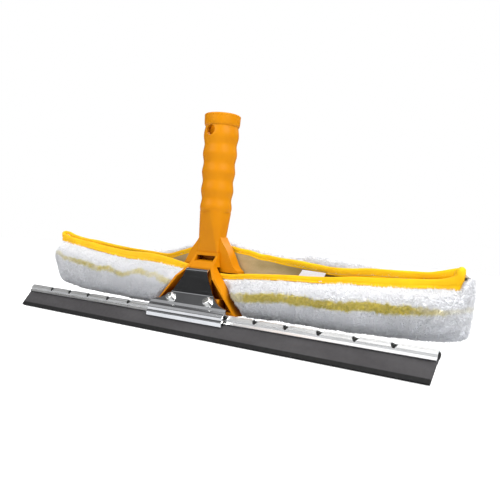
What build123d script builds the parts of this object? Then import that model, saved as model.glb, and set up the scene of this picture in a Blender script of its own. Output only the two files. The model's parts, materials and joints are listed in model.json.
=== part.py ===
"""Window squeegee combined with a washer: pole-socket handle, screw-clamped squeegee and T-bar with a pile sleeve.

The model is laid out about the handle's axis: X along the blade, Y to the back, Z up the handle, and Z = 0 at the
blade's edge.  At the end everything moves along Y, so that the origin is the middle of the footprint.
"""
from build123d import *
from math import cos, pi, radians, sin, sqrt
import os

# ---- squeegee: rubber and channel ----
BLADE_TILT = 35.5            # degrees that the blade leans forward of the handle's axis
BLADE_OFFSET = 25.3          # from the handle's axis forward to the middle of the rubber's bead
CHANNEL_LENGTH = 457.2       # 18 in, the rubber's length too
CHANNEL_SHIFT = -2.5         # channel and rubber sit this far off the handle's middle
CHANNEL_DEPTH = 5.2          # mouth below the bead's centre
CHANNEL_WALL = 0.8
PINCH_DEPTH = 2.7            # groove that holds the bead, below the bead's centre
MOUTH_FLARE = 0.6            # mouth opens out by this much on each side below the groove
CROWN_RADIUS = 1.6
GROOVE_UP = 1.3              # rolled line along each side, above the bead's centre
GROOVE_WIDTH = 0.7
GROOVE_DEPTH = 0.35
HOLE_PITCH = 30.0
HOLE_DIAMETER = 5.6
HOLE_END_MARGIN = 33.0       # least distance from the channel's end to its first hole
RUBBER_THICKNESS = 2.6
RUBBER_EXPOSED = 16.3        # rubber below the channel's mouth
BEAD_RADIUS = 2.4
RUBBER_GAP = 0.2             # running gap of the rubber in the channel

# ---- clamp: two sheet jaws, screws, washers and nuts ----
JAW_SHEET = 1.2
JAW_GAP = 0.3                # between the jaws and what slides between them
JAW_PLATE = 6.8              # middle of the front jaw's lower plate, in front of the blade's plane
JAW_CREASE = 15.7            # where the front jaw bends up, above the bead
JAW_UPRIGHT = 22.6           # height of the front jaw's upright plate
JAW_LEAN = 9.0               # degrees that the upright plate leans back
JAW_TOP_HALF = 12.7
JAW_LIP_HALF = 44.4
JAW_FLANGE = 2.6             # depth of the edges that are turned back
JAW_LIP_BOTTOM = 8.6         # end of the lip, below the bead
REAR_JAW_HALF = 42.0
REAR_JAW_UP = 14.6           # top of the rear jaw, above the bead
SCREW_SPACING = 44.0
SCREW_UP = 9.7               # screws above the bead
SCREW_DIAMETER = 4.0
SCREW_HOLE_GAP = 0.2         # gap all round a screw in its clearance holes
THREAD_GAP = 0.06            # gap all round a screw in its nut
HEAD_DIAMETER = 7.6
HEAD_HEIGHT = 2.6
JAW_SCREW_LENGTH = 12.5
WASHER_DIAMETER = 9.2
WASHER_THICKNESS = 0.8
NUT_WIDTH = 7.0
NUT_THICKNESS = 3.0
NUT_GAP = 0.15
NUT_SEAT = 0.4               # front face of the nuts, in front of the blade's plane

# ---- handle: heights above the bead's centre ----
GRIP_TOP_UP = 177.0
GRIP_LENGTH = 86.7
GRIP_RADIUS_TOP = 15.6
GRIP_RADIUS_BOTTOM = 13.5
GRIP_RIDGES = 5
RIDGE_HEIGHT = 0.55          # half the height of the grip's waves
SOCKET_DIAMETER = 22.0
SOCKET_DEPTH = 85.0
LOCK_HOLE_DIAMETER = 9.4
LOCK_HOLE_DOWN = 15.5        # below the rim
NECK_HALF_TOP = 12.8         # just under the grip, where the neck is nearly round
NECK_CORNER_TOP = 10.2
NECK_HALF_WIDTH = 12.0       # just above the ledge, where the neck is square
NECK_CORNER = 1.6
NECK_FRONT = 6.6             # in front of the handle's axis, just above the ledge
NECK_WAIST_UP = 64.0         # the neck's back runs straight down the bar's plane from here
LEDGE_UP = 54.2
LEDGE_FRONT = 7.8
LEDGE_HALF_WIDTH = 13.6
LEDGE_THICKNESS = 3.0
CROTCH_UP = 41.8             # underside of the bridge between the front leg and the stem
LEG_FRONT = 21.0             # front edges of the leg's side walls, in front of the axis
LEG_WALL = 2.6
LEG_KNEE_UP = 31.5           # the leg's front edges lean back to the neck above this
LEG_BEND_UP = 39.5           # the leg's side edges run straight out to the foot below this
LEG_BEND_HALF = 16.5
FOOT_UP = 3.0
FOOT_HALF = 48.0
SEAT_HALF = 30.0
TONGUE_END_UP = 30.5
TONGUE_RISE = 2.6
WINDOW_LOW_UP = 45.8         # lower edge of the recess under the ledge

# ---- T-bar ----
BAR_THICKNESS = 10.0
BAR_HEIGHT = 22.0
BAR_WALL = 1.6
BAR_TUBE_LENGTH = 400.0
BAR_CORNER = 4.2
BAR_TOP_UP = 37.8
CAP_LENGTH = 12.0
CAP_SPIGOT = 14.0
CAP_GAP = 0.1
BASE_HALF = 34.0             # stem's base, along the bar
BAR_SCREW_X = 18.0
BAR_SCREW_BITE = 10.0        # screw length inside the stem

# ---- washer sleeve ----
SLEEVE_FRONT = 19.0
SLEEVE_BACK = 20.0
SLEEVE_END_WALL = 23.0       # from the bar's end to the sleeve's end
SLEEVE_CORNER = 15.0
SLEEVE_BOTTOM_UP = 5.6
SLEEVE_FLOOR = 6.5           # pile under the bar's cavity
SLEEVE_EDGE = 8.0            # rounding of the lower edges
LEG_CLEARANCE = 0.6          # between the leg and the sleeve's squeezed front wall
BAR_CLEARANCE = 0.8          # lining to bar
LINING = 0.8
BINDING_HEIGHT = 8.0
PILE_BELOW_EDGE = 6.0        # the front wall's pile stops this far below its binding's top
END_SLACK = 9.0              # cavity beyond each end of the bar
# Top edges from the left end to the right end, which is how the sleeve slouches on its bar.
EDGE_STATIONS = (-235.0, -200.0, -130.0, -60.0, 0.0, 60.0, 130.0, 200.0, 235.0)
FRONT_EDGE_UP = (63.0, 61.0, 56.0, 48.0, 37.5, 39.5, 43.0, 46.5, 54.0)
BACK_EDGE_UP = (62.0, 57.0, 50.0, 51.5, 62.0, 56.0, 53.0, 58.0, 60.0)
BACK_PILE_UP = (58.0, 55.0, 52.5, 56.5, 65.5, 60.0, 58.0, 57.5, 57.0)
LABEL_WIDTH = 26.0
LABEL_HEIGHT = 13.0
LABEL_THICKNESS = 0.35
LABEL_X = 109.0
LABEL_TOP_UP = 46.5

# ---- worked out ----
TILT = radians(BLADE_TILT)
CHANNEL_HALF_WIDTH = BEAD_RADIUS + RUBBER_GAP + CHANNEL_WALL
CHANNEL_TOP = CHANNEL_HALF_WIDTH             # crown above the bead's centre
RUBBER_REACH = CHANNEL_DEPTH + RUBBER_EXPOSED
BEAD_Z = RUBBER_REACH * cos(TILT) + RUBBER_THICKNESS / 2 * sin(TILT)
BLADE_FRONT = -BLADE_OFFSET - RUBBER_REACH * sin(TILT) - RUBBER_THICKNESS / 2 * cos(TILT)
FOOTPRINT_SHIFT = -(BLADE_FRONT + SLEEVE_BACK) / 2
GRIP_TOP = BEAD_Z + GRIP_TOP_UP
GRIP_BOTTOM = GRIP_TOP - GRIP_LENGTH
LEG_BACK = BAR_THICKNESS / 2 + 4.5           # leaves a gap for the sleeve's front wall
LEG_FLOOR = LEG_BACK + LEG_WALL
BAR_TOP = BEAD_Z + BAR_TOP_UP
BAR_BOTTOM = BAR_TOP - BAR_HEIGHT
BAR_HALF = BAR_TUBE_LENGTH / 2 + CAP_LENGTH
SLEEVE_HALF = BAR_HALF + SLEEVE_END_WALL
CAVITY_HALF = BAR_HALF + END_SLACK
SEAT_FACE = JAW_PLATE - JAW_SHEET / 2 - JAW_GAP - JAW_SHEET

# Squeegee plane: local x points forward out of the blade, local y up the blade, from the bead's centre.
SQUEEGEE = Plane(origin=(0, -BLADE_OFFSET, BEAD_Z), x_dir=(0, -cos(TILT), sin(TILT)), z_dir=(-1, 0, 0))
SIDE = Plane(origin=(0, 0, 0), x_dir=(0, 1, 0), z_dir=(1, 0, 0))


def blade_point(out, up):
    """Y and Z of a point given in the squeegee's own directions."""
    return (-BLADE_OFFSET + up * sin(TILT) - out * cos(TILT), BEAD_Z + up * cos(TILT) + out * sin(TILT))


def along_x(face, half):
    """A side profile pulled out to both sides of the middle."""
    return extrude(face, amount=half, both=True)


def side_prism(points, half):
    """A prism along X from Y, Z points."""
    return along_x(SIDE * make_face(Polyline(*points, close=True)), half)


def block(x0, x1, y0, y1, z0, z1):
    return Pos((x0 + x1) / 2, (y0 + y1) / 2, (z0 + z1) / 2) * Box(x1 - x0, y1 - y0, z1 - z0)


def front_prism(face, y0, y1):
    """A face drawn as X, Z pulled out from y0 to y1."""
    sheet = Plane(origin=(0, y0, 0), x_dir=(1, 0, 0), z_dir=(0, -1, 0)) * face
    return extrude(sheet, amount=-(y1 - y0))


def mirrored_face(half_edges):
    """A face from the edges of its right half, which start and end on the middle line."""
    left = [mirror(edge, about=Plane.YZ) for edge in half_edges]
    return make_face(half_edges + left)


# ---- squeegee ----
def rubber():
    blade = Pos(0, -RUBBER_REACH / 2) * Rectangle(RUBBER_THICKNESS, RUBBER_REACH)
    return Pos(CHANNEL_SHIFT, 0, 0) * along_x(SQUEEGEE * (Circle(BEAD_RADIUS) + blade), CHANNEL_LENGTH / 2)


def hole_places():
    count = int((CHANNEL_LENGTH - 2 * HOLE_END_MARGIN) / HOLE_PITCH) + 1
    return [(i - (count - 1) / 2) * HOLE_PITCH for i in range(count)]


def channel_face(inset, below):
    """Outline of the channel's section, moved in by inset and carried on below its mouth."""
    side = CHANNEL_HALF_WIDTH - inset
    top = CHANNEL_TOP - inset
    pinch = RUBBER_THICKNESS / 2 + RUBBER_GAP + CHANNEL_WALL - inset
    mouth = -CHANNEL_DEPTH - below
    corner = CROWN_RADIUS - inset / 2
    crown_start = top - corner
    bend = corner * sin(pi / 4)
    edges = [
        Line((0, mouth), (pinch + MOUTH_FLARE, mouth)),
        Line((pinch + MOUTH_FLARE, mouth), (pinch, -PINCH_DEPTH)),
        Line((pinch, -PINCH_DEPTH), (side, -PINCH_DEPTH / 3)),
        Line((side, -PINCH_DEPTH / 3), (side, crown_start)),
        ThreePointArc((side, crown_start), (side - corner + bend, crown_start + bend), (side - corner, top)),
        Line((side - corner, top), (0, top)),
    ]
    return mirrored_face(edges)


def channel():
    face = channel_face(0, 0) - channel_face(CHANNEL_WALL, 1)
    for side in (-1, 1):
        face -= Pos(side * CHANNEL_HALF_WIDTH, GROOVE_UP) * Rectangle(2 * GROOVE_DEPTH, GROOVE_WIDTH)
    body = Pos(CHANNEL_SHIFT, 0, 0) * along_x(SQUEEGEE * face, CHANNEL_LENGTH / 2)
    corner_y, corner_z = blade_point(CHANNEL_HALF_WIDTH, CHANNEL_TOP - CROWN_RADIUS / 2)
    inward = Vector(0, cos(TILT) - sin(TILT), -sin(TILT) - cos(TILT)).normalized()
    reach = CHANNEL_HALF_WIDTH
    for x in hole_places():
        start = Vector(x, corner_y, corner_z) - inward * reach
        drill = Plane(origin=start, x_dir=(1, 0, 0), z_dir=inward)
        body -= extrude(drill * Circle(HOLE_DIAMETER / 2), amount=2 * reach)
    return body


# ---- clamp ----
def jaw_flank():
    """Right edge of the front jaw as X, Z points, from the top down to the lip."""
    crease = blade_point(JAW_PLATE, JAW_CREASE)[1]
    top = crease + JAW_UPRIGHT
    lip = blade_point(JAW_PLATE, 5.4)[1]
    return [
        (JAW_TOP_HALF, top),
        (JAW_TOP_HALF + 2.1, top - 0.31 * JAW_UPRIGHT),
        (JAW_TOP_HALF + 6.7, crease + 0.37 * JAW_UPRIGHT),
        (JAW_TOP_HALF + 12.1, crease + 0.6),
        (JAW_TOP_HALF + 19.0, (crease + lip) / 2 - 0.2),
        (JAW_LIP_HALF, lip),
    ]


def jaw_outline(inset=0.0):
    """The front jaw seen from the front, as X and Z."""
    flank = [(x - inset, z) for x, z in jaw_flank()]
    top = flank[0][1] + 2
    edges = [
        Line((0, top), (flank[0][0], top)),
        Line((flank[0][0], top), flank[0]),
        Spline(*flank, tangents=[(0.12, -1), (1, -0.22)]),
        Line(flank[-1], (flank[-1][0], 0)),
        Line((flank[-1][0], 0), (0, 0)),
    ]
    return mirrored_face(edges)


def front_jaw():
    lean = radians(JAW_LEAN)
    up = (sin(TILT - lean), cos(TILT - lean))
    back = (-cos(TILT - lean), sin(TILT - lean))
    crease = (JAW_PLATE, JAW_CREASE)
    top = (crease[0] + up[0] * JAW_UPRIGHT, crease[1] + up[1] * JAW_UPRIGHT)
    rim = (top[0] + back[0] * JAW_FLANGE, top[1] + back[1] * JAW_FLANGE)
    lip_out = CHANNEL_HALF_WIDTH + JAW_GAP + JAW_SHEET / 2
    tip_out = RUBBER_THICKNESS / 2 + JAW_GAP + 1.2 * JAW_SHEET / 2
    path = [rim, top, crease, (JAW_PLATE, 5.2), (JAW_PLATE - 0.7, 2.8), (JAW_PLATE - 0.2, 0.4),
            (JAW_PLATE - 0.8, -2.3), (lip_out, -3.9), (lip_out, -CHANNEL_DEPTH - 0.5), (tip_out, -JAW_LIP_BOTTOM)]
    bends = [1.8, 3.0, 1.2, 1.0, 1.2, 1.0, 0.9, 1.2]
    middle = FilletPolyline(*path, radius=bends)
    sheet = along_x(SQUEEGEE * trace(middle, JAW_SHEET), JAW_LIP_HALF + 1)
    front = blade_point(JAW_PLATE, JAW_CREASE)[0]
    sheet = sheet & front_prism(jaw_outline(), front - 60, front + 60)

    crease_z = blade_point(*crease)[1]
    rim_z = crease_z + JAW_UPRIGHT * cos(lean)
    top_front = front + JAW_UPRIGHT * sin(lean)
    ring = front_prism(jaw_outline(), front, top_front + JAW_FLANGE)
    ring -= front_prism(jaw_outline(JAW_SHEET), front - 1, top_front + JAW_FLANGE + 1)
    keep = [(top_front, rim_z), (front + 0.4, crease_z + 2), (front + 0.8, crease_z + 2),
            (top_front + JAW_FLANGE, crease_z + 0.7 * JAW_UPRIGHT), (top_front + JAW_FLANGE, rim_z)]
    sheet += ring & side_prism(keep, JAW_LIP_HALF)
    for x in (-SCREW_SPACING / 2, SCREW_SPACING / 2):
        sheet -= screw_bore(x, SCREW_HOLE_GAP, -2, 12)
    return sheet


def rear_jaw():
    face_out = SEAT_FACE + JAW_SHEET / 2
    top_up = CHANNEL_TOP + JAW_GAP + JAW_SHEET / 2
    back_out = -(CHANNEL_HALF_WIDTH + JAW_GAP + JAW_SHEET / 2)
    hook_out = -(RUBBER_THICKNESS / 2 + JAW_GAP + 1.2 * JAW_SHEET / 2)
    path = [(face_out, REAR_JAW_UP), (face_out, top_up), (back_out, top_up),
            (back_out, -CHANNEL_DEPTH - 0.6), (hook_out, -JAW_LIP_BOTTOM + 0.4)]
    middle = FilletPolyline(*path, radius=1.1)
    sheet = along_x(SQUEEGEE * trace(middle, JAW_SHEET), REAR_JAW_HALF)
    corner_x = REAR_JAW_HALF
    inner_x = SEAT_HALF - 2
    for side in (-1, 1):
        low = blade_point(0, 6.0)[1]
        cut = make_face(Polyline((side * inner_x, low + 30), (side * inner_x, low + 6),
                                 (side * corner_x, low), (side * (corner_x + 5), low),
                                 (side * (corner_x + 5), low + 30), close=True))
        sheet -= front_prism(cut, -60, 0)
        sheet -= screw_bore(side * SCREW_SPACING / 2, SCREW_HOLE_GAP, -2, 12)
    return sheet


def screw_plane(x, out):
    """Plane across a clamp screw's axis, facing forward out of the jaw."""
    y, z = blade_point(out, SCREW_UP)
    return Plane(origin=(x, y, z), x_dir=(1, 0, 0), z_dir=(0, -cos(TILT), sin(TILT)))


def screw_bore(x, gap, low, high):
    return extrude(screw_plane(x, low) * Circle(SCREW_DIAMETER / 2 + gap), amount=high - low)


def pan_screw(plane, length):
    """Pan-head screw with a cross recess: the head's underside is on the plane, the shank goes behind it."""
    head = extrude(plane * Circle(HEAD_DIAMETER / 2), amount=HEAD_HEIGHT)
    front_edge = max(head.edges(), key=lambda edge: (edge.center() - plane.origin).dot(plane.z_dir))
    head = fillet([front_edge], HEAD_HEIGHT * 0.55)
    shank = extrude(plane * Circle(SCREW_DIAMETER / 2), amount=-length)
    top = Plane(origin=plane.origin + plane.z_dir * (HEAD_HEIGHT + 0.01), x_dir=plane.x_dir, z_dir=plane.z_dir)
    slot_length = HEAD_DIAMETER * 0.52
    slot_width = HEAD_DIAMETER * 0.13
    cross = Rectangle(slot_length, slot_width) + Rectangle(slot_width, slot_length)
    recess = extrude(top * Rot(0, 0, 20) * cross, amount=-HEAD_HEIGHT * 0.6)
    return head + shank - recess


PLATE_FACE = JAW_PLATE + JAW_SHEET / 2


def jaw_screw(side):
    return pan_screw(screw_plane(side * SCREW_SPACING / 2, PLATE_FACE + WASHER_THICKNESS), JAW_SCREW_LENGTH)


def jaw_washer(side):
    plane = screw_plane(side * SCREW_SPACING / 2, PLATE_FACE)
    return extrude(plane * (Circle(WASHER_DIAMETER / 2) - Circle(SCREW_DIAMETER / 2 + SCREW_HOLE_GAP)),
                   amount=WASHER_THICKNESS)


def jaw_nut(side):
    plane = screw_plane(side * SCREW_SPACING / 2, NUT_SEAT)
    ring = RectangleRounded(NUT_WIDTH, NUT_WIDTH, 0.6) - Circle(SCREW_DIAMETER / 2 + THREAD_GAP)
    return extrude(plane * ring, amount=-NUT_THICKNESS)


# ---- handle ----
def grip():
    """Outer grip, a tapered turned form with finger waves."""
    pitch = GRIP_LENGTH / (GRIP_RIDGES + 0.35)
    points = []
    for i in range(2 * GRIP_RIDGES + 1):
        up = (i + 0.35) * pitch / 2
        taper = GRIP_RADIUS_BOTTOM + (GRIP_RADIUS_TOP - GRIP_RADIUS_BOTTOM) * up / GRIP_LENGTH
        wave = RIDGE_HEIGHT if i % 2 == 0 else -RIDGE_HEIGHT
        points.append((taper + wave, GRIP_BOTTOM + up))
    first, last = points[0], points[-1]
    rim = (last[0] + 0.15, GRIP_TOP - 1.4)
    outline = [
        Line((0, GRIP_BOTTOM), (first[0] - 0.5, GRIP_BOTTOM)),
        Line((first[0] - 0.5, GRIP_BOTTOM), first),
        Spline(*points, tangents=[(0.1, 1), (0, 1)]),
        Line(last, rim),
        ThreePointArc(rim, (rim[0] - 0.41, GRIP_TOP - 0.41), (rim[0] - 1.4, GRIP_TOP)),
        Line((rim[0] - 1.4, GRIP_TOP), (0, GRIP_TOP)),
        Line((0, GRIP_TOP), (0, GRIP_BOTTOM)),
    ]
    return revolve(Plane.XZ * make_face(outline), axis=Axis.Z)


def neck():
    """Nearly round under the grip, with flat sides that widen down to the square above the ledge."""
    back = BAR_THICKNESS / 2
    share = (NECK_WAIST_UP - LEDGE_UP) / (GRIP_BOTTOM - BEAD_Z - LEDGE_UP)
    waist_half = NECK_HALF_WIDTH + share * (NECK_HALF_TOP - NECK_HALF_WIDTH)
    waist_front = NECK_FRONT + share * (NECK_HALF_TOP - NECK_FRONT)
    waist_corner = NECK_CORNER + share * (NECK_CORNER_TOP - NECK_CORNER)
    top = neck_section(NECK_HALF_TOP, NECK_HALF_TOP, NECK_HALF_TOP, NECK_CORNER_TOP, GRIP_BOTTOM)
    waist = neck_section(waist_half, waist_front, back, waist_corner, BEAD_Z + NECK_WAIST_UP)
    square = neck_section(NECK_HALF_WIDTH, NECK_FRONT, back, NECK_CORNER, BEAD_Z + LEDGE_UP)
    return loft([waist, top], ruled=True) + loft([square, waist], ruled=True)


def neck_section(half_width, front, back, corner, z):
    section = RectangleRounded(2 * half_width, front + back, corner)
    return Pos(0, (back - front) / 2, z) * section


def bridge():
    """Joins the front leg's top to the stem, over the sleeve's front edge."""
    crotch_z = BEAD_Z + CROTCH_UP
    ledge_z = BEAD_Z + LEDGE_UP
    under_z = ledge_z - LEDGE_THICKNESS
    front = LEG_BACK + 1
    slope = (LEG_FRONT - LEDGE_FRONT) / (LEDGE_UP - LEDGE_THICKNESS - LEG_KNEE_UP)
    meet_z = under_z - (front - LEDGE_FRONT) / slope
    back = BAR_THICKNESS / 2
    side = [(back, crotch_z), (-front, crotch_z), (-front, meet_z), (-LEDGE_FRONT, under_z),
            (-LEDGE_FRONT, ledge_z), (back, ledge_z)]
    return side_prism(side, FOOT_HALF) & front_prism(leg_outline(0, 0, 0), -LEG_FRONT, back)


def leg_outline(inset, drop, rise):
    """The front leg seen from the front, as X and Z: walls moved in by inset, top lowered, foot raised."""
    top_z = BEAD_Z + LEDGE_UP - drop
    bend_z = BEAD_Z + LEG_BEND_UP
    foot_z = BEAD_Z + FOOT_UP + rise
    slope = (FOOT_HALF - LEG_BEND_HALF) / (LEG_BEND_UP - FOOT_UP)
    along = inset * sqrt(1 + slope**2)         # level width of a wall of this slope
    curve = Spline((LEDGE_HALF_WIDTH - inset, top_z), (LEG_BEND_HALF - along, bend_z),
                   tangents=[(0.06, -1), (slope, -1)])
    foot_x = FOOT_HALF - along
    edges = [
        Line((0, top_z), (LEDGE_HALF_WIDTH - inset, top_z)),
        curve,
        Line((LEG_BEND_HALF - along, bend_z), (foot_x, foot_z)),
        Line((foot_x, foot_z), (0, foot_z)),
    ]
    return mirrored_face(edges)


def leg():
    """Front leg: an open trough with side walls, a ledge, a tongue and a slanted seat for the jaws."""
    ledge_z = BEAD_Z + LEDGE_UP
    bend_z = BEAD_Z + LEG_BEND_UP
    foot_z = BEAD_Z + FOOT_UP
    walls = front_prism(leg_outline(0, 0, 0), -LEG_FRONT, -LEG_BACK)
    trough = front_prism(leg_outline(LEG_WALL, LEDGE_THICKNESS, LEG_WALL), -LEG_FRONT - 1, -LEG_FLOOR)
    knee_z = BEAD_Z + LEG_KNEE_UP
    sloped = side_prism([(-LEG_FRONT - 1, knee_z), (-LEG_FRONT - 1, ledge_z + 1), (-LEDGE_FRONT, ledge_z + 1),
                         (-LEDGE_FRONT, ledge_z - LEDGE_THICKNESS), (-LEG_FRONT, knee_z)], FOOT_HALF)
    shell = walls - trough - sloped

    tongue_end = BEAD_Z + TONGUE_END_UP
    tongue_front = -LEG_FLOOR - TONGUE_RISE
    tongue = side_prism([(-LEG_FLOOR, tongue_end), (tongue_front, tongue_end + 1), (tongue_front, bend_z + 1),
                         (-LEG_FLOOR + 0.5, BEAD_Z + WINDOW_LOW_UP), (-LEG_FLOOR + 0.5, tongue_end)], FOOT_HALF)
    shell += tongue & front_prism(leg_outline(LEG_WALL / 2, 0, 0), -LEG_FRONT, -LEG_FLOOR + 0.5)

    seat_up = REAR_JAW_UP + 0.6
    under = CHANNEL_TOP + JAW_GAP + JAW_SHEET
    low_out = (foot_z - BEAD_Z - under * cos(TILT)) / sin(TILT)
    bend = JAW_SHEET
    seat = side_prism([blade_point(SEAT_FACE, seat_up), blade_point(SEAT_FACE, under + bend),
                       blade_point(SEAT_FACE - bend, under), blade_point(low_out, under),
                       (-LEG_FLOOR + 1, foot_z),
                       (-LEG_FLOOR + 1, blade_point(SEAT_FACE, seat_up)[1])], SEAT_HALF)
    return shell + seat


def window():
    """The dark recess under the ledge, which runs back into the neck."""
    top = BEAD_Z + LEDGE_UP - LEDGE_THICKNESS
    low = BEAD_Z + WINDOW_LOW_UP
    recess = side_prism([(-LEG_FRONT, top), (-1.0, top), (-1.0, top - 3), (-LEG_FLOOR + 1.2, low),
                         (-LEG_FRONT, low)], LEDGE_HALF_WIDTH - LEG_WALL)
    return recess


def stem():
    """Web that flares from the neck down to the T-bar."""
    base_z = BAR_TOP
    neck_z = BEAD_Z + 68.5
    flare = [(BASE_HALF, base_z + 2.0), (BASE_HALF - 5.0, BEAD_Z + 43.5), (24.8, BEAD_Z + 50.5),
             (19.6, BEAD_Z + 58.5), (NECK_HALF_WIDTH, neck_z)]
    edges = [
        Line((0, base_z), (BASE_HALF, base_z)),
        Line((BASE_HALF, base_z), flare[0]),
        Spline(*flare, tangents=[(-1, 0.45), (-0.6, 1)]),
        Line((NECK_HALF_WIDTH, neck_z), (0, neck_z)),
    ]
    return front_prism(mirrored_face(edges), -BAR_THICKNESS / 2, BAR_THICKNESS / 2)


def nut_trap(side):
    """Pocket for a square nut, open at the back."""
    plane = screw_plane(side * SCREW_SPACING / 2, NUT_SEAT)
    width = NUT_WIDTH + 2 * NUT_GAP
    return extrude(plane * Rectangle(width, width), amount=-14)


def handle_body():
    body = grip() + neck() + bridge() + stem() + leg() - window()
    body -= Pos(0, 0, GRIP_TOP - SOCKET_DEPTH / 2) * Cylinder(SOCKET_DIAMETER / 2, SOCKET_DEPTH)
    hole_z = GRIP_TOP - LOCK_HOLE_DOWN
    body -= front_prism(Pos(0, hole_z) * Circle(LOCK_HOLE_DIAMETER / 2), -30, -1)
    for side in (-1, 1):
        body -= screw_bore(side * SCREW_SPACING / 2, SCREW_HOLE_GAP, NUT_SEAT - 1, SEAT_FACE + 4)
        body -= nut_trap(side)
        body -= bar_screw_hole(side, BAR_SCREW_BITE + 1)
    return body


# ---- T-bar ----
def bar_face(inset):
    corner = max(BAR_CORNER - inset, 0.5)
    return RectangleRounded(BAR_THICKNESS - 2 * inset, BAR_HEIGHT - 2 * inset, corner)


def bar_plane(x):
    return Plane(origin=(x, 0, BAR_TOP - BAR_HEIGHT / 2), x_dir=(0, 1, 0), z_dir=(1, 0, 0))


def bar_screw_hole(side, bite):
    plane = Plane(origin=(side * BAR_SCREW_X, 0, BAR_BOTTOM - 1))
    return extrude(plane * Circle(SCREW_DIAMETER / 2 + THREAD_GAP), amount=BAR_HEIGHT + 1 + bite)


def bar_tube():
    tube = extrude(bar_plane(0) * (bar_face(0) - bar_face(BAR_WALL)), amount=BAR_TUBE_LENGTH / 2, both=True)
    for side in (-1, 1):
        tube -= bar_screw_hole(side, 0)
    return tube


def bar_cap(side):
    """Rounded plug for the end of the bar's tube."""
    start = side * BAR_TUBE_LENGTH / 2
    head = extrude(bar_plane(start) * bar_face(0), amount=side * CAP_LENGTH)
    end_edges = head.edges().group_by(Axis.X)[-1 if side > 0 else 0]
    head = fillet(end_edges, BAR_THICKNESS / 2 - 1.2)
    spigot = extrude(bar_plane(start) * bar_face(BAR_WALL + CAP_GAP), amount=-side * CAP_SPIGOT)
    return head + spigot


def bar_screw(side):
    plane = Plane(origin=(side * BAR_SCREW_X, 0, BAR_BOTTOM), x_dir=(1, 0, 0), z_dir=(0, 0, -1))
    return pan_screw(plane, BAR_HEIGHT + BAR_SCREW_BITE)


# ---- sleeve ----
def above(ups, lower=0.0):
    """Face above a top edge, or that far below it, as X and Z."""
    stretch = (SLEEVE_HALF + 1) / EDGE_STATIONS[-1]
    points = [(x * stretch, BEAD_Z + up - lower) for x, up in zip(EDGE_STATIONS, ups)]
    first, last = points[0], points[-1]
    edges = [
        Spline(*points),
        Line(last, (last[0], GRIP_TOP)),
        Line((last[0], GRIP_TOP), (first[0], GRIP_TOP)),
        Line((first[0], GRIP_TOP), first),
    ]
    return make_face(edges)


CAVITY = BAR_THICKNESS / 2 + BAR_CLEARANCE + LINING
SQUEEZED = LEG_BACK - LEG_CLEARANCE
CAVITY_FLOOR = BEAD_Z + SLEEVE_BOTTOM_UP + SLEEVE_FLOOR


def binding_band(ups, y0, y1):
    """Strip below a top edge."""
    strip = front_prism(above(ups, BINDING_HEIGHT), y0, y1) - front_prism(above(ups), y0 - 1, y1 + 1)
    reach = CAVITY_HALF + SQUEEZED - CAVITY
    return strip & block(-reach, reach, y0 - 1, y1 + 1, 0, GRIP_TOP)


def sleeve_binding():
    wall = SQUEEZED - CAVITY
    loop = binding_band(FRONT_EDGE_UP, -SQUEEZED, -CAVITY)
    loop += binding_band(BACK_EDGE_UP, CAVITY, SQUEEZED)
    for side, end in ((-1, 0), (1, -1)):
        x0, x1 = sorted((side * CAVITY_HALF, side * (CAVITY_HALF + wall)))
        ends = (BEAD_Z + FRONT_EDGE_UP[end], BEAD_Z + BACK_EDGE_UP[end])
        loop += block(x0, x1, -SQUEEZED, SQUEEZED, min(ends) - BINDING_HEIGHT, max(ends))
    return loop


def sleeve_blank():
    """Outer form of the pile, before its top edges are cut."""
    bottom = BEAD_Z + SLEEVE_BOTTOM_UP
    top = BEAD_Z + max(BACK_PILE_UP) + 2
    middle = (SLEEVE_BACK - SLEEVE_FRONT) / 2
    plan = Pos(0, middle, bottom) * RectangleRounded(2 * SLEEVE_HALF, SLEEVE_FRONT + SLEEVE_BACK, SLEEVE_CORNER)
    blank = extrude(plan, amount=top - bottom)
    return fillet(blank.edges().group_by(Axis.Z)[0], SLEEVE_EDGE)


def sleeve_pile(binding):
    pile = sleeve_blank()
    pile -= front_prism(above(FRONT_EDGE_UP, PILE_BELOW_EDGE), -SLEEVE_FRONT - 1, 0)
    pile -= front_prism(above(BACK_PILE_UP), 0, SLEEVE_BACK + 1)
    pile -= block(-CAVITY_HALF, CAVITY_HALF, -CAVITY, CAVITY, CAVITY_FLOOR, GRIP_TOP)
    dent = FOOT_HALF + 1.0
    pile -= block(-dent, dent, -SLEEVE_FRONT - 1, -SQUEEZED, 0, GRIP_TOP)
    pile -= front_prism(above(BACK_EDGE_UP), 0, SQUEEZED)
    pile -= binding
    return pile


def sleeve_panels(pile):
    """The pile as a front panel, a back panel and what joins them under the bar and round its ends."""
    reach = SLEEVE_HALF + 1
    return {
        "front": pile & block(-reach, reach, -SLEEVE_FRONT - 1, -CAVITY, 0, GRIP_TOP),
        "back": pile & block(-reach, reach, CAVITY, SLEEVE_BACK + 1, 0, GRIP_TOP),
        "base": pile & block(-reach, reach, -CAVITY, CAVITY, 0, GRIP_TOP),
    }


def sleeve_lining():
    """Woven backing inside the pile, below the binding."""
    outer = block(-CAVITY_HALF, CAVITY_HALF, -CAVITY, CAVITY, CAVITY_FLOOR, GRIP_TOP)
    inner = block(-CAVITY_HALF + LINING, CAVITY_HALF - LINING, -CAVITY + LINING, CAVITY - LINING,
                  CAVITY_FLOOR + LINING, GRIP_TOP + 1)
    shell = outer - inner
    shell -= front_prism(above(FRONT_EDGE_UP), -CAVITY - 1, 0)
    shell -= front_prism(above(BACK_EDGE_UP), 0, CAVITY + 1)
    return shell


def care_label():
    inner = -CAVITY + LINING
    top = BEAD_Z + LABEL_TOP_UP
    return block(LABEL_X - LABEL_WIDTH / 2, LABEL_X + LABEL_WIDTH / 2, inner, inner + LABEL_THICKNESS,
                 top - LABEL_HEIGHT, top)


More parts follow.
